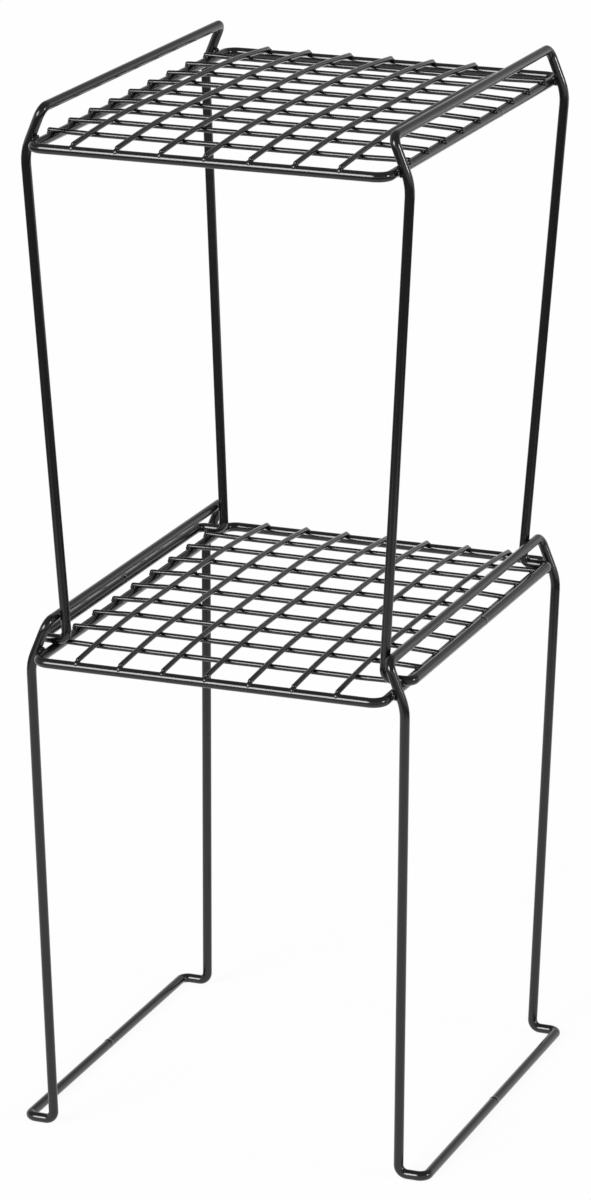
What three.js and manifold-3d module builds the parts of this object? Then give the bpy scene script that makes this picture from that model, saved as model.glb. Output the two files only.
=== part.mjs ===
import * as THREE from 'three';
import { mergeVertices } from 'three/addons/utils/BufferGeometryUtils.js';
import Module from 'manifold-3d';

// Two stacking wire shelves, alike, with the upper one clipped into the raised rails of the lower one.
// Millimetres, +Z up, front towards -Y. The origin is on the floor below the middle of the stack.
// Distances between wires are measured on their centrelines, and wire sizes across the flats.

// Wire
const FRAME_WIRE = 6.6; // rim and side frames
const GRID_WIRE = 3.6; // shelf grid
const FRAME_SIDES = 16; // a multiple of four, so that a wire has flats on its top, bottom and sides
const GRID_SIDES = 12;
const BEND_STEP = THREE.MathUtils.degToRad(18); // bend between two rings of a tube
const LEAST_BEND_STEPS = 4;
const LEAST_TURN = THREE.MathUtils.degToRad(0.1); // a smaller turn is left straight

// Shelf
const SHELF_WIDTH = 244;
const SHELF_DEPTH = 346;
const SHELF_HEIGHT = 343; // rim above the floor
const RIM_CORNER = 9; // bend radius
const LONG_WIRE_COUNT = 7;
const CROSS_WIRE_COUNT = 9;
const LONG_WIRE_FALL = 70; // from the rim to the bend where a long wire stops being level
const LONG_WIRE_BEND = 1250; // bend radius there, so wide that the wire looks arched
const CROSS_WIRE_BEND = 100; // bend radius where a cross wire rises to the rim

// Side frame
const LIFT_PLAY = 9; // a clipped foot rises this far before the raised rail stops it
const RAIL_INSET = 1.8; // raised rail inside the rim
const RISER_PAST_CORNER = 8; // riser from the end of the rim's corner bend
const LEG_BEND_DROP = 6.8; // bend from riser to leg, below the rim
const FREE_TOE = 3.7; // foot of a leg that nothing holds, outside the rim
const TURN_OUT = 19.2; // foot rail outside the leg
const RAIL_BEND = 7; // bend radii
const LEG_BEND = 35;
const FOOT_BEND = 6;
const FOOT_RISER_GAP = 8.3; // a clipped foot clear of the riser
const FOOT_WIRE_GAP = 0.5; // a clipped foot clear of the end cross wire

// Butt welds that close the loops of wire
const BUTT_GAP = 0.4; // the wire's two ends apart, inside the weld
const FLASH = 0.4; // weld's ridge above the wire
const FLASH_HALF_LENGTH = 0.7;
const WELD_HALF_LENGTH = 2.2;
const WELD_ROOT_DEPTH = 0.25; // weld's ends below the wire's surface
const RIM_WELD_OFFSET = 10; // rim's weld behind the cross wire that is next to the middle one
const DRESSED_DEPTH = 0.05; // foot rail's weld ground back from the floor

// Clearances
const WELD_GAP = 0.3; // wires that are welded where they cross
const REST_GAP = 0.3; // upper foot on the lower rim
const CLIP_GAP = 0.3; // upper leg against the lower raised rail
const STOP_GAP = 0.3; // foot below the raised rail at the top of its lift

// Coating
const COATING_COLOUR = 0x1b1b1c;
const COATING_ROUGHNESS = 0.34;
const COATING_METALNESS = 0.15;

// Levels and lines that follow from the sizes above, in one shelf's own frame
const frameRadius = FRAME_WIRE / 2;
const gridRadius = GRID_WIRE / 2;
const rimX = SHELF_WIDTH / 2;
const rimY = SHELF_DEPTH / 2;
const rimZ = SHELF_HEIGHT;
const footZ = frameRadius;
const railX = rimX - RAIL_INSET;
const railZ = rimZ + FRAME_WIRE + REST_GAP + FRAME_WIRE + STOP_GAP + LIFT_PLAY;
const riserY = rimY - RIM_CORNER - RISER_PAST_CORNER;
const footY = riserY - FRAME_WIRE - FOOT_RISER_GAP;
const endCrossY = footY - frameRadius - FOOT_WIRE_GAP - gridRadius;
const crossZ = rimZ + frameRadius + WELD_GAP + gridRadius;
const longZ = crossZ + GRID_WIRE + WELD_GAP;
const endLongX = (rimX * (LONG_WIRE_COUNT - 1)) / (LONG_WIRE_COUNT + 1);
const stackPitch = rimZ + frameRadius + REST_GAP;

const wasm = await Module();
wasm.setup();

// A bent wire: straight runs between corners, each corner rounded by an arc of its own radius.
// Rings stand only at the two ends and along the arcs.
class BentWire extends THREE.Curve {
  constructor(start, corners, end) {
    super();
    const points = [start, ...corners.map((corner) => corner.at), end];
    const directions = points.slice(1).map((point, i) => point.clone().sub(points[i]).normalize());
    this.stations = [{ at: start, tangent: directions[0] }];
    corners.forEach((corner, i) => this.addArc(corner, directions[i], directions[i + 1]));
    this.stations.push({ at: end, tangent: directions.at(-1) });
  }

  addArc(corner, arriving, leaving) {
    const turn = arriving.angleTo(leaving);
    if (turn < LEAST_TURN) return;
    const axis = arriving.clone().cross(leaving).normalize();
    const setback = corner.radius * Math.tan(turn / 2);
    const inward = axis.clone().cross(arriving);
    const begin = corner.at.clone().addScaledVector(arriving, -setback);
    const centre = begin.clone().addScaledVector(inward, corner.radius);
    const steps = Math.max(LEAST_BEND_STEPS, Math.ceil(turn / BEND_STEP));
    for (let i = 0; i <= steps; i += 1) {
      const angle = (turn * i) / steps;
      const at = begin.clone().sub(centre).applyAxisAngle(axis, angle).add(centre);
      this.stations.push({ at, tangent: arriving.clone().applyAxisAngle(axis, angle) });
    }
  }

  get steps() {
    return this.stations.length - 1;
  }

  getPoint(t, target = new THREE.Vector3()) {
    return target.copy(this.stations[Math.round(t * this.steps)].at);
  }

  getSpacedPoints() {
    return this.stations.map((station) => station.at.clone());
  }

  getTangentAt(u, target = new THREE.Vector3()) {
    return target.copy(this.stations[Math.round(u * this.steps)].tangent);
  }

  // Height of a wire that runs towards +Y.
  heightAt(y) {
    const next = this.stations.findIndex((station) => station.at.y > y);
    const [a, b] = [this.stations[next - 1].at, this.stations[next].at];
    return THREE.MathUtils.mapLinear(y, a.y, b.y, a.z, b.z);
  }
}

// Corner radius of a regular polygon with flats at the given distance from its centre.
function cornerRadius(flatRadius, sides) {
  return flatRadius / Math.cos(Math.PI / sides);
}

// Wire section with a flat on its top and another below.
function wireSection(diameter, sides) {
  const radius = cornerRadius(diameter / 2, sides);
  const corners = Array.from({ length: sides }, (_, i) => {
    const angle = (2 * Math.PI * (i + 0.5)) / sides;
    return new THREE.Vector2(radius * Math.cos(angle), radius * Math.sin(angle));
  });
  return new THREE.Shape(corners);
}

function wireGeometry(path, section) {
  return new THREE.ExtrudeGeometry(section, { extrudePath: path, steps: path.steps });
}

const frameSection = wireSection(FRAME_WIRE, FRAME_SIDES);
const gridSection = wireSection(GRID_WIRE, GRID_SIDES);

// Ridge of metal around a butt weld, along Y and centred on the wire.
function weldGeometry() {
  const root = cornerRadius(frameRadius - WELD_ROOT_DEPTH, FRAME_SIDES);
  const crest = cornerRadius(frameRadius + FLASH, FRAME_SIDES);
  const profile = [
    new THREE.Vector2(0, -WELD_HALF_LENGTH),
    new THREE.Vector2(root, -WELD_HALF_LENGTH),
    new THREE.Vector2(crest, -FLASH_HALF_LENGTH),
    new THREE.Vector2(crest, FLASH_HALF_LENGTH),
    new THREE.Vector2(root, WELD_HALF_LENGTH),
    new THREE.Vector2(0, WELD_HALF_LENGTH),
  ];
  return new THREE.LatheGeometry(profile, FRAME_SIDES, Math.PI / FRAME_SIDES);
}

function toSolid(geometry) {
  const bare = geometry.clone();
  bare.deleteAttribute('normal');
  bare.deleteAttribute('uv');
  const merged = mergeVertices(bare);
  return new wasm.Manifold(
    new wasm.Mesh({
      numProp: 3,
      vertProperties: new Float32Array(merged.attributes.position.array),
      triVerts: new Uint32Array(merged.index.array),
    }),
  );
}

function toGeometry(solid) {
  const mesh = solid.getMesh();
  const geometry = new THREE.BufferGeometry();
  geometry.setAttribute('position', new THREE.BufferAttribute(mesh.vertProperties, mesh.numProp));
  geometry.setIndex(new THREE.BufferAttribute(mesh.triVerts, 1));
  geometry.computeVertexNormals();
  return geometry;
}

// Closes a loop of frame wire with a butt weld between its two ends.
function closedLoop(path, weldAt) {
  const weld = weldGeometry().translate(weldAt.x, weldAt.y, weldAt.z);
  return toGeometry(toSolid(wireGeometry(path, frameSection)).add(toSolid(weld)));
}

// Heading of a straight wire that starts at one point and passes another wire at a set distance.
// Both points lie in the plane that the wires are seen end on. Side is +1 to pass on the left.
function passingHeading(from, wire, distance, side) {
  const sight = wire.clone().sub(from);
  return sight.angle() + side * Math.asin(distance / sight.length());
}

// Where a line of that heading reaches a height.
function reachHeight(from, heading, height) {
  return new THREE.Vector2(from.x + (height - from.y) / Math.tan(heading), height);
}

// Corners of a side frame seen from the front: the riser leans against the rim's outer side.
const railEnd = new THREE.Vector2(railX, railZ);
const rimEnd = new THREE.Vector2(rimX, rimZ);
const riserHeading = passingHeading(railEnd, rimEnd, FRAME_WIRE + WELD_GAP, 1);
const legBend = reachHeight(railEnd, riserHeading, rimZ - LEG_BEND_DROP);

// A free leg stands outside the rim. A clipped one is sprung in and leans on the rail of the shelf below.
const freeToe = new THREE.Vector2(rimX + FREE_TOE, footZ);
const railBelow = new THREE.Vector2(railX, railZ - stackPitch);
const clippedHeading = passingHeading(legBend, railBelow, FRAME_WIRE + CLIP_GAP, -1);
const clippedToe = reachHeight(legBend, clippedHeading, footZ);

function coatedMesh(name, geometry) {
  const coating = new THREE.MeshStandardMaterial({
    color: COATING_COLOUR,
    roughness: COATING_ROUGHNESS,
    metalness: COATING_METALNESS,
  });
  const mesh = new THREE.Mesh(geometry, coating);
  mesh.name = name;
  return mesh;
}

// Places of a row of wires spread evenly over a span about the middle.
function spread(count, reach) {
  return Array.from({ length: count }, (_, i) => reach * ((2 * i) / (count - 1) - 1));
}

// Rim: a rectangle of wire with round corners, butt welded on its right side.
function rimGeometry() {
  const crossPitch = (2 * endCrossY) / (CROSS_WIRE_COUNT - 1);
  const weldAt = new THREE.Vector3(rimX, crossPitch + RIM_WELD_OFFSET, rimZ);
  const halfGap = new THREE.Vector3(0, BUTT_GAP / 2, 0);
  const corners = [
    [rimX, rimY],
    [-rimX, rimY],
    [-rimX, -rimY],
    [rimX, -rimY],
  ].map(([x, y]) => ({ at: new THREE.Vector3(x, y, rimZ), radius: RIM_CORNER }));
  const path = new BentWire(weldAt.clone().add(halfGap), corners, weldAt.clone().sub(halfGap));
  return closedLoop(path, weldAt);
}

// Side frame: foot rail, legs, risers and raised rail, bent from one wire. Side is +1 on the right.
function sideFrameGeometry(side, toe) {
  const footX = toe.x + TURN_OUT;
  const corner = (x, y, z, radius) => ({ at: new THREE.Vector3(side * x, y, z), radius });
  const halfLoop = (end) => [
    corner(footX, end * footY, footZ, FOOT_BEND),
    corner(toe.x, end * footY, footZ, FOOT_BEND),
    corner(legBend.x, end * riserY, legBend.y, LEG_BEND),
    corner(railX, end * riserY, railZ, RAIL_BEND),
  ];
  const middle = new THREE.Vector3(side * footX, 0, footZ);
  const halfGap = new THREE.Vector3(0, BUTT_GAP / 2, 0);
  const corners = [...halfLoop(1), ...halfLoop(-1).reverse()];
  const path = new BentWire(middle.clone().add(halfGap), corners, middle.clone().sub(halfGap));
  const weldAt = middle.clone().setZ(footZ + FLASH + DRESSED_DEPTH);
  return closedLoop(path, weldAt);
}

// A grid wire's end, seen along the rim that it lies on: past a bend it runs straight across the rim's top.
function endOnRim(bend, rimAt, reach) {
  const rim = new THREE.Vector2(rimAt, rimZ);
  const heading = passingHeading(bend, rim, frameRadius + WELD_GAP + gridRadius, 1);
  return new THREE.Vector2(reach, bend.y + (reach - bend.x) * Math.tan(heading));
}

// Long wire: level on top of the middle cross wires, then arched down to the rim's front and rear.
function longWirePath(x) {
  const bend = new THREE.Vector2(rimY - LONG_WIRE_FALL, longZ);
  const end = endOnRim(bend, rimY, rimY);
  const point = (along, place) => new THREE.Vector3(x, along * place.x, place.y);
  const corners = [-1, 1].map((along) => ({ at: point(along, bend), radius: LONG_WIRE_BEND }));
  return new BentWire(point(-1, end), corners, point(1, end));
}

// Cross wire: under the long wires, its ends on the rim's two sides and flush with their outer faces.
function crossWirePath(y) {
  const level = longWirePath(0).heightAt(y) - GRID_WIRE - WELD_GAP;
  const bend = new THREE.Vector2(endLongX + GRID_WIRE, level);
  const end = endOnRim(bend, rimX, rimX + frameRadius);
  const point = (side, place) => new THREE.Vector3(side * place.x, y, place.y);
  const corners = [-1, 1].map((side) => ({ at: point(side, bend), radius: CROSS_WIRE_BEND }));
  return new BentWire(point(-1, end), corners, point(1, end));
}

// One shelf, whose legs stand on the given toes.
function shelf(tier, toe) {
  const group = new THREE.Group();
  group.add(coatedMesh(`${tier}_shelf_rim`, rimGeometry()));
  group.add(coatedMesh(`${tier}_left_side_frame`, sideFrameGeometry(-1, toe)));
  group.add(coatedMesh(`${tier}_right_side_frame`, sideFrameGeometry(1, toe)));
  spread(CROSS_WIRE_COUNT, endCrossY).forEach((y, i) => {
    group.add(coatedMesh(`${tier}_cross_wire_${i + 1}`, wireGeometry(crossWirePath(y), gridSection)));
  });
  spread(LONG_WIRE_COUNT, endLongX).forEach((x, i) => {
    group.add(coatedMesh(`${tier}_long_wire_${i + 1}`, wireGeometry(longWirePath(x), gridSection)));
  });
  return group;
}

const stack = new THREE.Group();
stack.add(shelf('lower', freeToe));
const upper = shelf('upper', clippedToe);
upper.position.z = stackPitch;
stack.add(upper);

export default stack;
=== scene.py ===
# %% [markdown]
# # A stacking wire shelf, two tiers
# Two alike shelves of black coated steel wire, the upper one clipped on the lower one. Each is welded from
# nineteen lengths of wire: a rim, two side frames that are also its legs, nine cross wires and seven long
# wires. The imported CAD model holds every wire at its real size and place. This lesson bends a finer wire
# along each of them, adds the welds, gives everything its coating, and sets up a floor, the light and a
# camera. Lengths are in metres, unless a comment says otherwise.

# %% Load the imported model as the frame
import math
import random

import bmesh
import bpy
from mathutils import Matrix, Quaternion, Vector


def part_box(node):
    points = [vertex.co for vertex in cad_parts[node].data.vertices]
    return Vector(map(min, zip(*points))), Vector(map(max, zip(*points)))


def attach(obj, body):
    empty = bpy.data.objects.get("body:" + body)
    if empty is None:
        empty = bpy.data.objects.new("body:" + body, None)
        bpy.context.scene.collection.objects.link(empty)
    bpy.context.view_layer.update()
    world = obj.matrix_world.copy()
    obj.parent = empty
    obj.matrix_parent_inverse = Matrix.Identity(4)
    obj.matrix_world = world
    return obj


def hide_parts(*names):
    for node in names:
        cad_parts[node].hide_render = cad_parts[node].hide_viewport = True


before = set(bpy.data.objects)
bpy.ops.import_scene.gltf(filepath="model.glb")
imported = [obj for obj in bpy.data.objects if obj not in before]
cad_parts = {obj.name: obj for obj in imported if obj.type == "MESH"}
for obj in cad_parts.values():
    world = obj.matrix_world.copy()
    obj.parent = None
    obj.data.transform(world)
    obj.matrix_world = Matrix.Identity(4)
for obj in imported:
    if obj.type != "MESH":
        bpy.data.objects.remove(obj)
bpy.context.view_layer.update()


def in_mm(lengths):
    """Lengths in millimetres, rounded for printing."""
    return [round(1000 * length, 1) for length in lengths]


# %% [markdown]
# ## The camera
# The shelf is seen from its front right and a little from above, from about three and a half metres away
# through a long lens, so that upright wires stay nearly parallel. The sensor's width counts along the
# picture's long side. The camera is turned to its line of sight with a tracking rotation, then rolled by a
# fraction of a degree.

# %% Set the camera
SENSOR = 36.0  # mm, along the picture's long side
LENS = 156.1  # mm
CAMERA_AZIMUTH = math.radians(20.91)
CAMERA_ELEVATION = math.radians(17.07)
CAMERA_ROLL = math.radians(0.22)
CAMERA_DISTANCE = 3.553
AIM = Vector((0, 0, 0.350))
AIM_RIGHT = -0.0034  # picture's centre beside the aim
AIM_UP = 0.0002


def line_of_sight(azimuth, elevation):
    """Unit vector into the picture of a camera at that bearing, where azimuth 0 looks along +Y."""
    level = math.cos(elevation)
    return Vector((-math.sin(azimuth) * level, math.cos(azimuth) * level, -math.sin(elevation)))


sight = line_of_sight(CAMERA_AZIMUTH, CAMERA_ELEVATION)
upright = sight.to_track_quat("-Z", "Y")
camera_data = bpy.data.cameras.new("photo_camera")
camera_data.sensor_width = SENSOR
camera_data.lens = LENS
camera = bpy.data.objects.new("photo_camera", camera_data)
camera.location = AIM - sight * CAMERA_DISTANCE + upright @ Vector((AIM_RIGHT, AIM_UP, 0))
camera.rotation_mode = "QUATERNION"
camera.rotation_quaternion = upright @ Quaternion((0, 0, 1), CAMERA_ROLL)
bpy.context.scene.collection.objects.link(camera)
bpy.context.scene.camera = camera
print("camera at", [round(value, 3) for value in camera.location])

# %% [markdown]
# ## Helpers
# A material starts from an empty node tree. Two kinds of node come up again and again in the studio's
# materials, so each has a short function: a math node, and a fade from one level to another. Every mesh is
# made as a bmesh, and one function turns it into an object.

# %% Helpers for materials and meshes
UP = Vector((0, 0, 1))


def new_material(name):
    """An empty node material with its output. Returns the material, its nodes and its links."""
    material = bpy.data.materials.new(name)
    material.use_nodes = True
    tree = material.node_tree
    tree.nodes.clear()
    tree.nodes.new("ShaderNodeOutputMaterial").name = "output"
    return material, tree.nodes, tree.links


def math_node(nodes, links, operation, *terms):
    """A math node fed by sockets and numbers. Returns its result."""
    node = nodes.new("ShaderNodeMath")
    node.operation = operation
    for entry, term in zip(node.inputs, terms):
        if isinstance(term, bpy.types.NodeSocket):
            links.new(term, entry)
        else:
            entry.default_value = term
    return node.outputs["Value"]


def fade(nodes, links, source, places, levels, curve):
    """A value that goes from one level to another while its source goes between two places."""
    node = nodes.new("ShaderNodeMapRange")
    node.interpolation_type = curve
    node.inputs["From Min"].default_value = places[0]
    node.inputs["From Max"].default_value = places[1]
    node.inputs["To Min"].default_value = levels[0]
    node.inputs["To Max"].default_value = levels[1]
    links.new(source, node.inputs["Value"])
    return node.outputs["Result"]


def fill_mesh(mesh, bm):
    """Write a bmesh into a mesh with smooth shading, and free it."""
    for face in bm.faces:
        face.smooth = True
    bm.to_mesh(mesh)
    bm.free()


def add_object(name, bm, material):
    """Turn a bmesh into a smooth-shaded object at the origin."""
    mesh = bpy.data.meshes.new(name)
    fill_mesh(mesh, bm)
    mesh.materials.append(material)
    made = bpy.data.objects.new(name, mesh)
    bpy.context.scene.collection.objects.link(made)
    return made


print("helpers:", [helper.__name__ for helper in (new_material, math_node, fade, fill_mesh, add_object)])

# %% [markdown]
# ## The floor
# The shelf stands on a floor that is white near it and painted grey further out, in front and to its sides.
# That grey is painted shade: it stands in for light falling off away from the shelf. Black gloss shows what
# surrounds it more than its own colour: the low wires mirror the white near them and the high ones the
# painted shade beyond. The floor is one disc, and its colour follows the distance along and across the line
# of sight. Light Path lets the camera and mirrored rays see most of it without shadow, and the rest stays lit
# paper, which keeps the shelf's soft shadow. From other sides the painted shade's edge would cut the picture
# in two, so the camera sees the whole floor white.

# %% Lay the floor
FLOOR_RADIUS = 16.0
FLOOR_SEGMENTS = 96
# Where the floor's painted shade starts, and where it has become full grey.
PAINTED_SHADE_START_REACH = 0.85  # where the white starts to shade, in front of the shelf and to its sides
PAINTED_SHADE_FULL_REACH = 1.35  # where it has become grey
PAPER_WHITE = 0.94
# Painted shade: the grey of the floor beyond the white, in place of light falling off.
PAINTED_SHADE_GREY = 0.15
PLAIN_SHARE = 0.94  # share of the floor that is seen without shadow


def floor_with_painted_shade_material():
    """White to the camera. Other rays see painted shade that turns it grey in front and at its sides."""
    material, nodes, links = new_material("paper_with_painted_shade")
    place = nodes.new("ShaderNodeTexCoord")
    facing = nodes.new("ShaderNodeMapping")
    facing.inputs["Rotation"].default_value = (0, 0, -CAMERA_AZIMUTH)
    links.new(place.outputs["Object"], facing.inputs["Vector"])
    axes = nodes.new("ShaderNodeSeparateXYZ")
    links.new(facing.outputs["Vector"], axes.inputs["Vector"])
    aside = math_node(nodes, links, "ABSOLUTE", axes.outputs["X"])
    ahead = math_node(nodes, links, "MULTIPLY", axes.outputs["Y"], -1.0)
    reach = math_node(nodes, links, "MAXIMUM", aside, ahead)
    # Painted shade: the floor turns grey away from the shelf, in place of light falling off.
    shade = fade(nodes, links, reach, (PAINTED_SHADE_START_REACH, PAINTED_SHADE_FULL_REACH), (1.0, PAINTED_SHADE_GREY), "SMOOTHSTEP")
    ray = nodes.new("ShaderNodeLightPath").outputs
    white = math_node(nodes, links, "MAXIMUM", shade, ray["Is Camera Ray"])
    tint = math_node(nodes, links, "MULTIPLY", white, PAPER_WHITE)
    lit = nodes.new("ShaderNodeBsdfDiffuse")
    links.new(tint, lit.inputs["Color"])
    plain = nodes.new("ShaderNodeEmission")
    links.new(white, plain.inputs["Color"])
    seen = math_node(nodes, links, "MAXIMUM", ray["Is Camera Ray"], ray["Is Glossy Ray"])
    seen_or_through = math_node(nodes, links, "MAXIMUM", seen, ray["Is Transmission Ray"])
    share = math_node(nodes, links, "MULTIPLY", seen_or_through, PLAIN_SHARE)
    mix = nodes.new("ShaderNodeMixShader")
    links.new(share, mix.inputs["Fac"])
    links.new(lit.outputs["BSDF"], mix.inputs[1])
    links.new(plain.outputs["Emission"], mix.inputs[2])
    links.new(mix.outputs["Shader"], nodes["output"].inputs["Surface"])
    return material


paper = bmesh.new()
bmesh.ops.create_circle(paper, cap_ends=True, segments=FLOOR_SEGMENTS, radius=FLOOR_RADIUS)
floor = add_object("studio_floor", paper, floor_with_painted_shade_material())
print("floor radius:", FLOOR_RADIUS, "m")

# %% [markdown]
# ## The light
# Round wires turn each lamp into a thin line, so the lamps are chosen by the line that they draw. A broad
# soft lamp, low in front and to the left, draws the bright line along every wire that runs from side to
# side. A second, smaller one on the right draws a line down the upper shelf's leaning risers and stays out
# of the straight wires. Both are suns with a wide disc, which act as soft boxes and light the paper evenly.
# The world is a pale horizon under a dim ceiling.

# %% Set the lamps and the world
KEY_TOWARDS = Vector((-0.343, -0.837, 0.426))
KEY_SPREAD = math.radians(30)
KEY_STRENGTH = 3.2
FILL_TOWARDS = Vector((0.94, -0.02, 0.34))
FILL_SPREAD = math.radians(12)
FILL_STRENGTH = 1.1
CEILING = 0.30
HORIZON = 1.0
HORIZON_TOP = 0.12  # sine of the elevation where the pale horizon starts to dim
CEILING_FROM = 0.40  # sine of the elevation where it is as dim as the ceiling


def soft_lamp(name, towards, spread, strength):
    """A sun with a wide disc that shines from the given direction."""
    data = bpy.data.lights.new(name, "SUN")
    data.energy = strength
    data.angle = spread
    lamp = bpy.data.objects.new(name, data)
    lamp.rotation_mode = "QUATERNION"
    lamp.rotation_quaternion = towards.to_track_quat("Z", "Y")
    bpy.context.scene.collection.objects.link(lamp)


def studio_world():
    """A world that is pale at the horizon and dim overhead."""
    world = bpy.data.worlds.new("studio_room")
    world.use_nodes = True
    nodes = world.node_tree.nodes
    links = world.node_tree.links
    direction = nodes.new("ShaderNodeTexCoord")
    axes = nodes.new("ShaderNodeSeparateXYZ")
    links.new(direction.outputs["Generated"], axes.inputs["Vector"])
    dimming = (HORIZON_TOP, CEILING_FROM)
    level = fade(nodes, links, axes.outputs["Z"], dimming, (HORIZON, CEILING), "SMOOTHSTEP")
    links.new(level, nodes["Background"].inputs["Color"])
    return world


soft_lamp("key_lamp", KEY_TOWARDS, KEY_SPREAD, KEY_STRENGTH)
soft_lamp("fill_lamp", FILL_TOWARDS, FILL_SPREAD, FILL_STRENGTH)
bpy.context.scene.world = studio_world()
bpy.context.scene.view_settings.view_transform = "Standard"
print("lamps:", [item.name for item in bpy.data.lights])

# %% [markdown]
# ## A glowing card for painted reflections
# Wires that run from front to rear mirror what stands behind the shelf, and each mirrors it a little above
# its own height. So a curved card stands behind that glows, though it is no lamp: a painted reflection, white
# at the floor and dimmed above by painted shade, so that the foot rails come out lighter than the high rails.
# Only mirrored rays see it, so it hides nothing from any side and throws no shadow.

# %% Stand the card
CARD_RADIUS = 2.6
CARD_HEIGHT = 2.4
CARD_ARC = math.radians(150)
CARD_STEPS = 24
# Painted shade on the glowing card: full white up to one height, dim from another.
CARD_WHITE_TO = 0.4  # height where the white starts to dim
CARD_DIM_FROM = 1.9  # height where it has become dim
CARD_PAINTED_DIM = 0.28


def painted_reflection_material():
    """A glow for painted reflections, with painted shade that dims it with height."""
    material, nodes, links = new_material("painted_reflection_glow")
    place = nodes.new("ShaderNodeTexCoord")
    axes = nodes.new("ShaderNodeSeparateXYZ")
    links.new(place.outputs["Object"], axes.inputs["Vector"])
    dimming = (CARD_WHITE_TO, CARD_DIM_FROM)
    # Painted shade: the card's glow dims with height.
    level = fade(nodes, links, axes.outputs["Z"], dimming, (1.0, CARD_PAINTED_DIM), "LINEAR")
    glow = nodes.new("ShaderNodeEmission")
    links.new(level, glow.inputs["Color"])
    links.new(glow.outputs["Emission"], nodes["output"].inputs["Surface"])
    return material


sheet = bmesh.new()
edge_start = Matrix.Rotation(-CARD_ARC / 2, 3, "Z") @ Vector((0, CARD_RADIUS, 0))
foot_vert = sheet.verts.new(edge_start)
head_vert = sheet.verts.new(edge_start + UP * CARD_HEIGHT)
upright_edge = sheet.edges.new((foot_vert, head_vert))
bmesh.ops.spin(
    sheet,
    geom=[foot_vert, head_vert, upright_edge],
    cent=Vector((0, 0, 0)),
    axis=UP,
    angle=CARD_ARC,
    steps=CARD_STEPS,
)
card = add_object("painted_reflection_card", sheet, painted_reflection_material())
card.visible_camera = False
card.visible_diffuse = False
card.visible_transmission = False
card.visible_volume_scatter = False
card.visible_shadow = False
print("card height:", CARD_HEIGHT, "m, radius:", CARD_RADIUS, "m")

# %% [markdown]
# ## The powder coat
# The wire is coated with black powder that is melted on in an oven. It sets to a hard semi-gloss skin that
# is never quite level: a fine orange-peel ripple, a slow drift in gloss and a faint mottle in the black. All
# the finishes share this, so it is one node group. It gives a colour, a roughness and a height, and each
# material keeps its own shader. The patterns read Object coordinates, so they run on from wire to wire
# without a seam.

# %% Build the powder coat group
MOTTLE = (70.0, 4.0)  # features per metre, detail
GLOSS = (190.0, 3.0)
PEEL = (420.0, 1.0)
GRIT = (1500.0, 2.0)
GRIT_SHARE = 0.22  # of the height, and the rest is orange peel


def powder_coat_group():
    """Colour, roughness and height of a powder-coated surface."""
    group = bpy.data.node_groups.new("powder_coat", "ShaderNodeTree")
    for title, way, kind in (
        ("Dark", "INPUT", "NodeSocketColor"),
        ("Light", "INPUT", "NodeSocketColor"),
        ("Gloss low", "INPUT", "NodeSocketFloat"),
        ("Gloss high", "INPUT", "NodeSocketFloat"),
        ("Colour", "OUTPUT", "NodeSocketColor"),
        ("Roughness", "OUTPUT", "NodeSocketFloat"),
        ("Height", "OUTPUT", "NodeSocketFloat"),
    ):
        group.interface.new_socket(title, in_out=way, socket_type=kind)
    nodes = group.nodes
    links = group.links
    entry = nodes.new("NodeGroupInput")
    result = nodes.new("NodeGroupOutput")
    place = nodes.new("ShaderNodeTexCoord")

    def noise(scale, detail):
        """Noise over the surface."""
        texture = nodes.new("ShaderNodeTexNoise")
        texture.inputs["Scale"].default_value = scale
        texture.inputs["Detail"].default_value = detail
        links.new(place.outputs["Object"], texture.inputs["Vector"])
        return texture.outputs["Fac"]

    mottle = nodes.new("ShaderNodeMix")
    mottle.data_type = "RGBA"
    links.new(noise(*MOTTLE), mottle.inputs["Factor"])
    links.new(entry.outputs["Dark"], mottle.inputs["A"])
    links.new(entry.outputs["Light"], mottle.inputs["B"])
    links.new(mottle.outputs["Result"], result.inputs["Colour"])
    gloss = nodes.new("ShaderNodeMix")
    links.new(noise(*GLOSS), gloss.inputs["Factor"])
    links.new(entry.outputs["Gloss low"], gloss.inputs["A"])
    links.new(entry.outputs["Gloss high"], gloss.inputs["B"])
    links.new(gloss.outputs["Result"], result.inputs["Roughness"])
    height = nodes.new("ShaderNodeMix")
    height.inputs["Factor"].default_value = GRIT_SHARE
    links.new(noise(*PEEL), height.inputs["A"])
    links.new(noise(*GRIT), height.inputs["B"])
    links.new(height.outputs["Result"], result.inputs["Height"])
    return group


powder_coat = powder_coat_group()
print("node group:", powder_coat.name, [item.name for item in powder_coat.interface.items_tree])

# %% [markdown]
# ## Three finishes from one coat
# The thick frame wire takes the coat best and is the glossiest. The thin grid wire comes out of the oven a
# shade duller, and the welds are rougher under the same black. So there are three materials with the same
# group and different values. Numbers that are the same all over, such as the index of refraction, sit on
# the shader itself.

# %% Make the coated finishes
COAT_IOR = 1.5
COAT_BLACK = (0.0036, 0.0036, 0.0038, 1.0)
COAT_SOFT_BLACK = (0.0064, 0.0064, 0.0066, 1.0)
PEEL_DEPTH = 0.00006
FRAME_FINISH = (0.13, 0.22, 0.35)  # lowest and highest roughness, strength of the ripple
GRID_FINISH = (0.16, 0.27, 0.35)
WELD_FINISH = (0.15, 0.32, 0.8)


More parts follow.
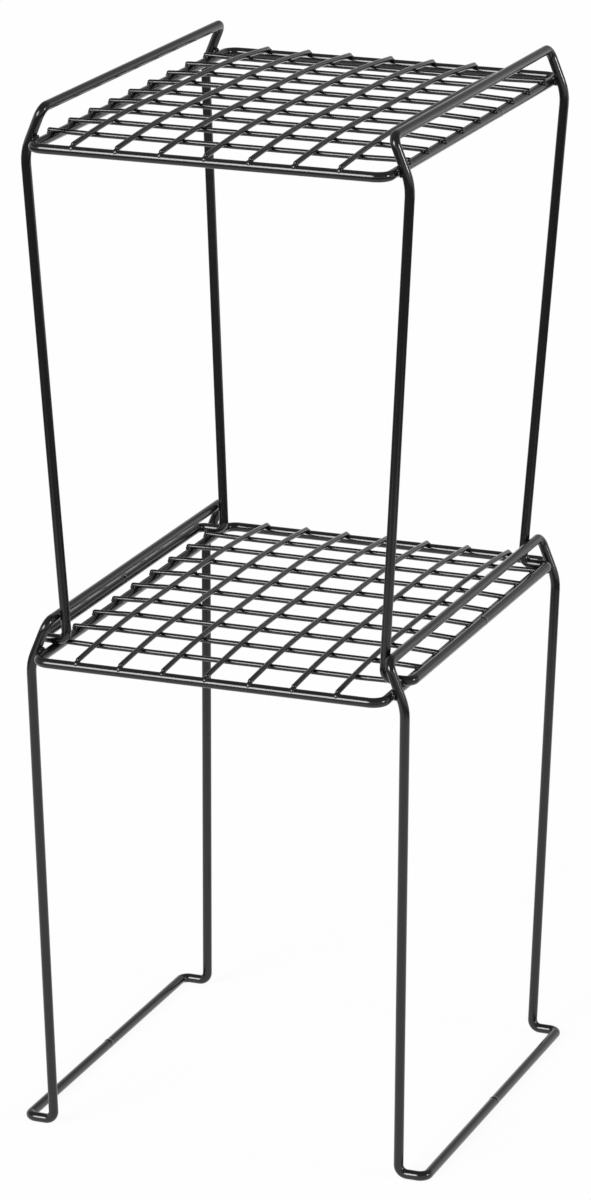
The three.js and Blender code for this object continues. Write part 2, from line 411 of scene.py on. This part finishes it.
def coated_steel(name, gloss_low, gloss_high, peel_strength):
    """Black powder coat with roughness drifting between two values and a ripple of the given strength."""
    material, nodes, links = new_material(name)
    coat = nodes.new("ShaderNodeGroup")
    coat.node_tree = powder_coat
    coat.inputs["Dark"].default_value = COAT_BLACK
    coat.inputs["Light"].default_value = COAT_SOFT_BLACK
    coat.inputs["Gloss low"].default_value = gloss_low
    coat.inputs["Gloss high"].default_value = gloss_high
    ripple = nodes.new("ShaderNodeBump")
    ripple.inputs["Strength"].default_value = peel_strength
    ripple.inputs["Distance"].default_value = PEEL_DEPTH
    links.new(coat.outputs["Height"], ripple.inputs["Height"])
    surface = nodes.new("ShaderNodeBsdfPrincipled")
    surface.inputs["IOR"].default_value = COAT_IOR
    links.new(coat.outputs["Colour"], surface.inputs["Base Color"])
    links.new(coat.outputs["Roughness"], surface.inputs["Roughness"])
    links.new(ripple.outputs["Normal"], surface.inputs["Normal"])
    links.new(surface.outputs["BSDF"], nodes["output"].inputs["Surface"])
    return material


frame_coat = coated_steel("frame_coat", *FRAME_FINISH)
grid_coat = coated_steel("grid_coat", *GRID_FINISH)
weld_coat = coated_steel("weld_coat", *WELD_FINISH)
print("finishes:", frame_coat.name, grid_coat.name, weld_coat.name)

# %% [markdown]
# ## Sizes read off the frame
# The CAD model knows where each wire is, so the script asks it instead of repeating it. A box around a wire
# gives its centreline once half the wire's thickness is taken off. Only what a box can't tell is written
# here: the two wire sizes, the gap and the bead at the CAD model's welds, and a few sizes inside a side
# frame's outline.

# %% Measure the wires
FRAME_WIRE = 0.0066
GRID_WIRE = 0.0036
WELD_GAP = 0.0003  # between wires that are welded where they cross
TURN_OUT = 0.0192  # foot rail outside the leg's foot
FOOT_SET_BACK = 0.0149  # leg's foot inside the riser, along Y
LEG_BEND_DROP = 0.0068  # bend from riser to leg, below the rim
FRAME_BEAD = 0.0004  # butt weld of a CAD side frame, which widens its box
FRAME_RADIUS = FRAME_WIRE / 2
GRID_RADIUS = GRID_WIRE / 2
TIERS = {"lower": "lower_shelf", "upper": "upper_shelf"}


def middle(node):
    """Centre of a CAD node's box."""
    low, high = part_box(node)
    return (low + high) / 2


rim_low, rim_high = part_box("lower_shelf_rim")
rim_x = -rim_low.x - FRAME_RADIUS
rim_y = rim_high.y - FRAME_RADIUS
rail_low, rail_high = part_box("lower_right_side_frame")
rail_x = rail_low.x + FRAME_RADIUS
riser_y = rail_high.y - FRAME_RADIUS
foot_y = riser_y - FOOT_SET_BACK
print("rim's width and depth in mm:", in_mm([2 * rim_x, 2 * rim_y]))
print("raised rail at x, riser and foot at y, in mm:", in_mm([rail_x, riser_y, foot_y]))

# %% [markdown]
# ## Bending a wire
# On the bench a wire is fed straight, then bent round a die, then fed again. The same two moves make the
# mesh. A circle stands across the wire's start. Feeding extrudes its edges along the heading, and bending
# spins them about the die's centre. The bends get a ring every few degrees, and one more stands a little way
# into the straight run at each end, so that smooth shading doesn't carry a bend's slant along the run. A
# curve object with a bevel would be quicker, but it pinches at tight bends and its rings can't be counted.

# %% Feed and bend
BEND_STEP = math.radians(7.5)


def edges_among(verts):
    """Edges that join two of these vertices, in a steady order."""
    chosen = set(verts)
    linked = dict.fromkeys(edge for vert in verts for edge in vert.link_edges)
    return [edge for edge in linked if set(edge.verts) <= chosen]


def verts_of(edges):
    """Vertices at the ends of these edges, each once and in a steady order."""
    return list(dict.fromkeys(vert for edge in edges for vert in edge.verts))


def section(bm, at, heading, radius, sides):
    """Circle across a wire's start. Returns its edges."""
    across = heading.to_track_quat("Z", "X").to_matrix().to_4x4()
    place = Matrix.Translation(at) @ across
    circle = bmesh.ops.create_circle(bm, cap_ends=False, segments=sides, radius=radius, matrix=place)
    return edges_among(circle["verts"])


def feed(bm, ring, step):
    """Extrude a ring straight on. Returns the new ring."""
    made = bmesh.ops.extrude_edge_only(bm, edges=ring)["geom"]
    verts = [item for item in made if isinstance(item, bmesh.types.BMVert)]
    bmesh.ops.translate(bm, verts=verts, vec=step)
    return edges_among(verts)


def bend(bm, ring, centre, axis, turn):
    """Spin a ring about a die. Returns the last ring."""
    steps = max(2, math.ceil(turn / BEND_STEP))
    whole = verts_of(ring) + ring
    made = bmesh.ops.spin(bm, geom=whole, cent=centre, axis=axis, angle=turn, steps=steps)
    return [item for item in made["geom_last"] if isinstance(item, bmesh.types.BMEdge)]


print("rings every", round(math.degrees(BEND_STEP), 1), "degrees of bend")

# %% Push a whole wire
FRAME_SIDES = 32
GRID_SIDES = 20
LEAD = 0.001  # ring in a straight run beside a bend
MERGE_DISTANCE = 1e-6


def push_wire(bm, points, radii, radius, sides):
    """A wire along straight runs between the points, bent at each inner point. Returns its last ring."""
    at = points[0]
    heading = (points[1] - at).normalized()
    ring = section(bm, at, heading, radius, sides)
    for corner, beyond, die in zip(points[1:], points[2:], radii):
        leaving = (beyond - corner).normalized()
        turn = heading.angle(leaving)
        setback = die * math.tan(turn / 2)
        ring = feed(bm, ring, corner - heading * (setback + LEAD) - at)
        ring = feed(bm, ring, heading * LEAD)
        axis = heading.cross(leaving).normalized()
        centre = corner - heading * setback + axis.cross(heading) * die
        ring = bend(bm, ring, centre, axis, turn)
        ring = feed(bm, ring, leaving * LEAD)
        at = corner + leaving * (setback + LEAD)
        heading = leaving
    return feed(bm, ring, points[-1] - at)


def finish_wire(bm, name, body, slot, material, *nodes):
    """Close and merge a mesh, turn its faces out, and set it on its body in place of its CAD nodes."""
    bmesh.ops.remove_doubles(bm, verts=bm.verts, dist=MERGE_DISTANCE)
    bmesh.ops.recalc_face_normals(bm, faces=bm.faces)
    piece = add_object(name, bm, material)
    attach(piece, body)
    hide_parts(*nodes)
    return piece


print("sides of the frame wire and the grid wire:", FRAME_SIDES, GRID_SIDES)

# %% [markdown]
# ## Butt welds
# A loop of wire is closed by pressing its two ends together while a current melts them. That leaves a low
# collar of squeezed-out steel under the coat. The wire is left open by the collar's length, and the collar is
# fed on in short steps that swell and shrink again, up to the ring that the wire started from. Its first and
# last steps stay level, for the shading again. On a foot rail the collar is ground flat with the wire where
# it stands on the floor, so there it swells upwards only.

# %% Close a loop
WELD_HALF = 0.0022  # half the weld's length
COLLAR_HEIGHT = 0.00018
COLLAR = (
    (-0.85, 0.0),
    (-0.6, 0.3),
    (-0.3, 0.9),
    (0.0, 1.0),
    (0.3, 0.85),
    (0.6, 0.25),
    (0.85, 0.0),
    (1.0, 0.0),
)  # place along the weld, share of the height


def close_with_collar(bm, ring, centre, lift):
    """Collar along +Y over the weld's length. Lift is 1 where the collar may only swell upwards."""
    at = -WELD_HALF
    grown = 0.0
    for place, share in COLLAR:
        height = share * COLLAR_HEIGHT
        step = Vector((0, place * WELD_HALF - at, lift * (height - grown)))
        ring = feed(bm, ring, step)
        at = place * WELD_HALF
        heart = centre + Vector((0, at, lift * height))
        swell = (FRAME_RADIUS + height) / (FRAME_RADIUS + grown)
        growth = Vector((swell, 1, swell))
        bmesh.ops.scale(bm, vec=growth, verts=verts_of(ring), space=Matrix.Translation(-heart))
        grown = height


print("collar height in mm:", round(1000 * COLLAR_HEIGHT, 2), "in", len(COLLAR), "steps")

# %% [markdown]
# ## Rims
# The rim is a rectangle of frame wire with round corners, and its collar is on the right side. It is fed
# round from the collar's far end and comes back to the near end, where the collar closes it.

# %% Bend the rims
RIM_CORNER = 0.009  # radius of the centreline, as for all bends
RIM_WELD_Y = 0.0439


def rim_loop(tier):
    """The rim of one shelf."""
    level = middle(f"{tier}_shelf_rim").z
    weld = Vector((rim_x, RIM_WELD_Y, level))
    half = Vector((0, WELD_HALF, 0))
    turns = [(1, 1), (-1, 1), (-1, -1), (1, -1)]
    corners = [Vector((sx * rim_x, sy * rim_y, level)) for sx, sy in turns]
    dies = [RIM_CORNER] * len(corners)
    bm = bmesh.new()
    route = [weld + half, *corners, weld - half]
    ring = push_wire(bm, route, dies, FRAME_RADIUS, FRAME_SIDES)
    close_with_collar(bm, ring, weld, 0)
    name = f"{tier}_rim_loop"
    return finish_wire(bm, name, TIERS[tier], "frame_coating", frame_coat, f"{tier}_shelf_rim")


for tier in TIERS:
    rim = rim_loop(tier)
    print(rim.name, len(rim.data.polygons), "faces")

# %% [markdown]
# ## Side frames
# A side frame is one loop: the foot rail on the floor, a turn inwards, the leg, the riser that leans on the
# rim's outer side, and the raised rail over the shelf. The riser is a line from the raised rail that passes
# the rim at one wire's width, so its direction comes from a tangent and not from a guess.

# %% Bend the side frames
RAIL_BEND = 0.007
LEG_BEND = 0.035
FOOT_BEND = 0.006


def passing_heading(start, wire, distance, side):
    """Angle of a line from start that passes a wire, seen end on, at a distance. Side 1 is on its left."""
    gap = wire - start
    return math.atan2(gap.y, gap.x) + side * math.asin(distance / gap.length)


def side_frame_points(tier):
    """Corners of a right side frame in X and Z: foot rail, leg's foot, leg bend and raised rail."""
    low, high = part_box(f"{tier}_right_side_frame")
    rim_level = middle(f"{tier}_shelf_rim").z
    rail = Vector((rail_x, high.z - FRAME_RADIUS))
    heading = passing_heading(rail, Vector((rim_x, rim_level)), FRAME_WIRE + WELD_GAP, 1)
    bend_level = rim_level - LEG_BEND_DROP
    leg_bend = Vector((rail.x + (bend_level - rail.y) / math.tan(heading), bend_level))
    foot = Vector((high.x - FRAME_BEAD - FRAME_RADIUS, low.z + FRAME_RADIUS))
    toe = Vector((foot.x - TURN_OUT, foot.y))
    return foot, toe, leg_bend, rail


def side_frame_loop(tier, hand, side):
    """The side frame of one shelf, on the left or the right."""
    foot, toe, leg_bend, rail = side_frame_points(tier)
    flat_corners = [(foot, foot_y), (toe, foot_y), (leg_bend, riser_y), (rail, riser_y)]
    rear = [Vector((side * point.x, y, point.y)) for point, y in flat_corners]
    front = [Vector((corner.x, -corner.y, corner.z)) for corner in reversed(rear)]
    dies = [FOOT_BEND, FOOT_BEND, LEG_BEND, RAIL_BEND]
    weld = Vector((side * foot.x, 0, foot.y))
    half = Vector((0, WELD_HALF, 0))
    bm = bmesh.new()
    route = [weld + half, *rear, *front, weld - half]
    ring = push_wire(bm, route, dies + dies[::-1], FRAME_RADIUS, FRAME_SIDES)
    close_with_collar(bm, ring, weld, 1)
    name = f"{tier}_{hand}_leg_loop"
    return finish_wire(bm, name, TIERS[tier], "frame_coating", frame_coat, f"{tier}_{hand}_side_frame")


for tier in TIERS:
    for hand, side in (("left", -1), ("right", 1)):
        loop = side_frame_loop(tier, hand, side)
        print(loop.name, len(loop.data.polygons), "faces")

# %% [markdown]
# ## Grid wires
# Nine cross wires lie on the rim's sides, and seven long wires lie on them and arch down at both ends to the
# rim's front and rear. The outer cross wires follow them down and rise again to the rim. Shears cut these
# wires and the coat rounds the cut, so each end is filled and its edge bevelled. Where two wires cross, the
# welding electrodes press a shallow flat: on top of the long wire and under the cross wire. On the rim they
# press harder, and the hot end of each wire sinks a millimetre into the rim. So a rod is made straight, cut
# across by planes that add rings, pressed, and only then bowed until its ends lie in the rim, which is how
# the flats keep their depth along the arch.

# %% Helpers for pressed flats, bowing and cut ends
X_AXIS = 0
Y_AXIS = 1
PRESS_DEPTH = 0.00016
PRESS_HALF = 0.0016  # half the flat's length
PRESS_RUN = 0.0034  # from the flat's middle to the end of its slope
PRESS_LEAD = 0.0042  # ring beyond the slope, for the shading
BOW_STEPS = 6
END_ROUND = 0.00165
END_STEPS = 5
END_PROFILE = 0.5  # a round bevel


def cut_across(bm, along, place):
    """Add a ring where a plane across an axis cuts a wire."""
    normal = Vector([1 if axis == along else 0 for axis in range(3)])
    every = bm.verts[:] + bm.edges[:] + bm.faces[:]
    bmesh.ops.bisect_plane(bm, geom=every, plane_co=normal * place, plane_no=normal)


def press_flats(bm, along, stops, level, side):
    """Press a flat on a wire's top, side 1, or underside, side -1, at each stop along an axis."""
    for stop in stops:
        for offset in (-PRESS_LEAD, -PRESS_RUN, -PRESS_HALF, PRESS_HALF, PRESS_RUN, PRESS_LEAD):
            cut_across(bm, along, stop + offset)
    face_level = level + side * (GRID_RADIUS - PRESS_DEPTH)
    for vert in bm.verts:
        near = min(abs(vert.co[along] - stop) for stop in stops)
        if near < (PRESS_HALF + PRESS_RUN) / 2 and side * (vert.co.z - face_level) > 0:
            vert.co.z = face_level


def bow_height(place, bend_at, die, angle):
    """Height gained along a wire: none up to a bend at either end, a straight slope after it."""
    begin = bend_at - die * math.tan(abs(angle) / 2)
    past = abs(place) - begin
    if past <= 0:
        return 0.0
    if past >= die * math.sin(abs(angle)):
        return (abs(place) - bend_at) * math.tan(angle)
    return math.copysign(die - math.sqrt(die**2 - past**2), angle)


def bow(bm, along, bend_at, die, angle):
    """Raise or lower the two ends of a straight wire about a bend near each."""
    begin = bend_at - die * math.tan(abs(angle) / 2)
    length = die * math.sin(abs(angle))
    for step in range(BOW_STEPS + 1):
        for end_side in (-1, 1):
            cut_across(bm, along, end_side * (begin + length * step / BOW_STEPS))
    for vert in bm.verts:
        vert.co.z += bow_height(vert.co[along], bend_at, die, angle)


def round_ends(bm):
    """Fill a wire's two open ends and round their edges."""
    rims = [edge for edge in bm.edges if edge.is_boundary]
    bmesh.ops.holes_fill(bm, edges=rims, sides=0)
    bmesh.ops.bevel(
        bm,
        geom=rims,
        offset=END_ROUND,
        offset_type="OFFSET",
        segments=END_STEPS,
        profile=END_PROFILE,
        affect="EDGES",
        material=-1,
    )


print("flats pressed in mm:", round(1000 * PRESS_DEPTH, 2), "deep")

# %% [markdown]
# Both shelves have their grid wires at the same places, so the lower one's are measured. A cross wire is
# bowed if its level middle would miss the rim or sink too deep in it, and a long wire always is.

# %% Lay the cross wires
CROSS_NUMBERS = range(1, 10)
LONG_NUMBERS = range(1, 8)
CROSS_WIRE_BEND = 0.1
LEAST_BOW = math.radians(0.1)  # a smaller slope isn't worth the rings
END_SINK = 0.0010  # depth to which a wire's end is pressed into the rim
STACKED = FRAME_RADIUS + GRID_RADIUS - END_SINK  # grid wire over the rim, centre to centre
cross_places = [middle(f"lower_cross_wire_{number}").y for number in CROSS_NUMBERS]
long_places = [middle(f"lower_long_wire_{number}").x for number in LONG_NUMBERS]


def cross_rod(tier, number):
    """A wire from side to side, with ends that rise to the rim if its middle lies low, or else sink to it."""
    node = f"{tier}_cross_wire_{number}"
    y = middle(node).y
    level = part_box(node)[0].z + GRID_RADIUS
    start = Vector((long_places[-1] + GRID_WIRE, level))
    rim = Vector((rim_x, middle(f"{tier}_shelf_rim").z))
    angle = passing_heading(start, rim, STACKED, 1)
    reach = rim_x + FRAME_RADIUS
    bm = bmesh.new()
    push_wire(bm, [Vector((-reach, y, level)), Vector((reach, y, level))], [], GRID_RADIUS, GRID_SIDES)
    press_flats(bm, X_AXIS, long_places, level, -1)
    if abs(angle) > LEAST_BOW:
        bow(bm, X_AXIS, start.x, CROSS_WIRE_BEND, angle)
    round_ends(bm)
    return finish_wire(bm, f"{tier}_cross_rod_{number}", TIERS[tier], "grid_coating", grid_coat, node)


cross_rods = [cross_rod(tier, number) for tier in TIERS for number in CROSS_NUMBERS]
print(len(cross_rods), "cross rods,", len(cross_rods[0].data.polygons), "faces in the first")
print("places along y in mm:", in_mm(cross_places))

# %% Lay the long wires
LONG_WIRE_FALL = 0.07  # from the rim to the bend where a long wire stops being level
LONG_WIRE_BEND = 1.25


def long_rod_level(tier):
    """Centreline height of a long wire's level middle."""
    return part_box(f"{tier}_long_wire_1")[1].z - GRID_RADIUS


def long_rod_angle(tier):
    """Slope of a long wire beyond its bend, below zero because it falls to the rim."""
    start = Vector((rim_y - LONG_WIRE_FALL, long_rod_level(tier)))
    rim = Vector((rim_y, middle(f"{tier}_shelf_rim").z))
    return passing_heading(start, rim, STACKED, 1)


def long_rod(tier, number):
    """A wire from front to rear that arches down to the rim."""
    node = f"{tier}_long_wire_{number}"
    x = middle(node).x
    level = long_rod_level(tier)
    bm = bmesh.new()
    push_wire(bm, [Vector((x, -rim_y, level)), Vector((x, rim_y, level))], [], GRID_RADIUS, GRID_SIDES)
    press_flats(bm, Y_AXIS, cross_places, level, 1)
    bow(bm, Y_AXIS, rim_y - LONG_WIRE_FALL, LONG_WIRE_BEND, long_rod_angle(tier))
    round_ends(bm)
    return finish_wire(bm, f"{tier}_long_rod_{number}", TIERS[tier], "grid_coating", grid_coat, node)


long_rods = [long_rod(tier, number) for tier in TIERS for number in LONG_NUMBERS]
print(len(long_rods), "long rods,", len(long_rods[0].data.polygons), "faces in the first")
print("places along x in mm:", in_mm(long_places))

# %% [markdown]
# ## Spot welds of the grid
# At each crossing a lens of steel melts between the two wires and the coat fills the corners round it. A
# small flattened ball, sunk between the wires, gives that fillet. On the rim the ball is larger, and more
# steel has squeezed out on the rim's outer face: a flat nub in front of each long wire's end and a round one
# under each cross wire's end. There are over a hundred on each shelf, so one is only a few dozen faces, and
# they differ a little in size and turn. A fixed seed keeps them the same each run.

# %% Drop the spot welds
CROSSING_WELD = (0.0016, 0.0010)  # half width and half depth of the ball
RIM_WELD = (0.0022, 0.0011)
END_NUB = (0.0017, 0.0007)
SIDE_NUB = (0.0018, 0.0015)
NUB_PLACE = math.radians(42)  # from the rim's top towards its outer face
NUB_FACING = math.radians(68)  # an end nub's flat side, from straight up
NUB_TILT = 0.1  # most that an end nub turns from that, in radians
WELD_SPREAD = 0.12  # most that a size differs, as a share
WELD_RINGS = (8, 6)
WELD_SEED = 5
dice = random.Random(WELD_SEED)


def nugget(bm, at, size, facing):
    """A flattened ball of weld, with its flat side towards a direction."""
    across, deep = [side * (1 + dice.uniform(-WELD_SPREAD, WELD_SPREAD)) for side in size]
    laid = facing.to_track_quat("Z", "X").to_matrix().to_4x4()
    turn = Matrix.Rotation(dice.uniform(0, math.pi), 4, "Z")
    place = Matrix.Translation(at) @ laid @ turn @ Matrix.Diagonal((across, across, deep, 1))
    round_steps, down_steps = WELD_RINGS
    bmesh.ops.create_uvsphere(bm, u_segments=round_steps, v_segments=down_steps, radius=1, matrix=place)


def grid_welds(tier):
    """All spot welds of one shelf's grid."""
    rim_level = middle(f"{tier}_shelf_rim").z
    rim_top = rim_level + FRAME_RADIUS
    angle = long_rod_angle(tier)
    bm = bmesh.new()
    for y in cross_places:
        fall = bow_height(y, rim_y - LONG_WIRE_FALL, LONG_WIRE_BEND, angle)
        crossing_level = long_rod_level(tier) + fall - GRID_RADIUS
        for x in long_places:
            nugget(bm, Vector((x, y, crossing_level)), CROSSING_WELD, UP)
        for side in (-1, 1):
            nugget(bm, Vector((side * rim_x, y, rim_top)), RIM_WELD, UP)
            rim_heart = Vector((side * rim_x, y, rim_level))
            outward = Vector((side * math.sin(NUB_PLACE), 0, math.cos(NUB_PLACE)))
            nugget(bm, rim_heart + outward * FRAME_RADIUS, SIDE_NUB, outward)
    for x in long_places:
        for end_side in (-1, 1):
            nugget(bm, Vector((x, end_side * rim_y, rim_top)), RIM_WELD, UP)
            rim_heart = Vector((x, end_side * rim_y, rim_level))
            outward = Vector((0, end_side * math.sin(NUB_PLACE), math.cos(NUB_PLACE)))
            tilt = NUB_FACING + dice.uniform(-NUB_TILT, NUB_TILT)
            facing = Vector((0, end_side * math.sin(tilt), math.cos(tilt)))
            nugget(bm, rim_heart + outward * FRAME_RADIUS, END_NUB, facing)
    bmesh.ops.recalc_face_normals(bm, faces=bm.faces)
    piece = add_object(f"{tier}_grid_welds", bm, weld_coat)
    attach(piece, TIERS[tier])
    return piece


for tier in TIERS:
    welds = grid_welds(tier)
    print(welds.name, len(welds.data.polygons), "faces")

# %% [markdown]
# ## Weld beads at the risers
# Where a riser crosses the rim, a welder has laid a short lumpy bead all round the contact. Overlapping balls
# set round it give the lumps, and a voxel remesh melts them into one skin, which a few passes of smoothing
# settle.

# %% Lay the weld beads
BEAD_REACH = 0.0030
BEAD_LUMP = 0.0014
BEAD_LUMPS = 9
BEAD_HEART = 0.8  # radius of the middle ball, as a share of the reach
BEAD_STRAY = 0.3  # most that a lump is off its place, in steps round the bead
BEAD_REACHES = (0.85, 1.15)  # least and most, as a share
BEAD_SIZES = (0.75, 1.2)
BALL_SUBDIVISIONS = 2
BEAD_VOXEL = 0.0004
BEAD_SMOOTHING = 2
SMOOTHING_FACTOR = 0.5


def ball(bm, at, radius):
    """One lump of weld."""
    place = Matrix.Translation(at)
    bmesh.ops.create_icosphere(bm, subdivisions=BALL_SUBDIVISIONS, radius=radius, matrix=place)


def bead(bm, contact, across, along):
    """Lumps round a contact, in the plane of the two crossing wires."""
    for step in range(BEAD_LUMPS):
        angle = 2 * math.pi * (step + dice.uniform(-BEAD_STRAY, BEAD_STRAY)) / BEAD_LUMPS
        out = across * math.cos(angle) + along * math.sin(angle)
        at = contact + out * BEAD_REACH * dice.uniform(*BEAD_REACHES)
        ball(bm, at, BEAD_LUMP * dice.uniform(*BEAD_SIZES))
    ball(bm, contact, BEAD_REACH * BEAD_HEART)


def melted(piece):
    """Replace a piece's mesh by one voxel skin over all its lumps."""
    remesh = piece.modifiers.new("melt", "REMESH")
    remesh.mode = "VOXEL"
    remesh.voxel_size = BEAD_VOXEL
    scene_graph = bpy.context.evaluated_depsgraph_get()
    skin = bpy.data.meshes.new_from_object(piece.evaluated_get(scene_graph))
    piece.modifiers.clear()
    bm = bmesh.new()
    bm.from_mesh(skin)
    bpy.data.meshes.remove(skin)
    for _ in range(BEAD_SMOOTHING):
        bmesh.ops.smooth_vert(
            bm,
            verts=bm.verts,
            factor=SMOOTHING_FACTOR,
            use_axis_x=True,
            use_axis_y=True,
            use_axis_z=True,
        )
    fill_mesh(piece.data, bm)


def frame_welds(tier):
    """The four beads between one shelf's rim and its side frames."""
    _, _, leg_bend, rail = side_frame_points(tier)
    rim_level = middle(f"{tier}_shelf_rim").z
    fall = (leg_bend - rail).normalized()
    bm = bmesh.new()
    for side in (-1, 1):
        outward = Vector((-side * fall.y, 0, fall.x))
        along = Vector((side * fall.x, 0, fall.y))
        for end_side in (-1, 1):
            rim_heart = Vector((side * rim_x, end_side * riser_y, rim_level))
            bead(bm, rim_heart + outward * (FRAME_RADIUS + WELD_GAP / 2), Vector((0, 1, 0)), along)
    piece = add_object(f"{tier}_frame_welds", bm, weld_coat)
    melted(piece)
    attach(piece, TIERS[tier])
    return piece


for tier in TIERS:
    beads = frame_welds(tier)
    print(beads.name, len(beads.data.polygons), "faces")
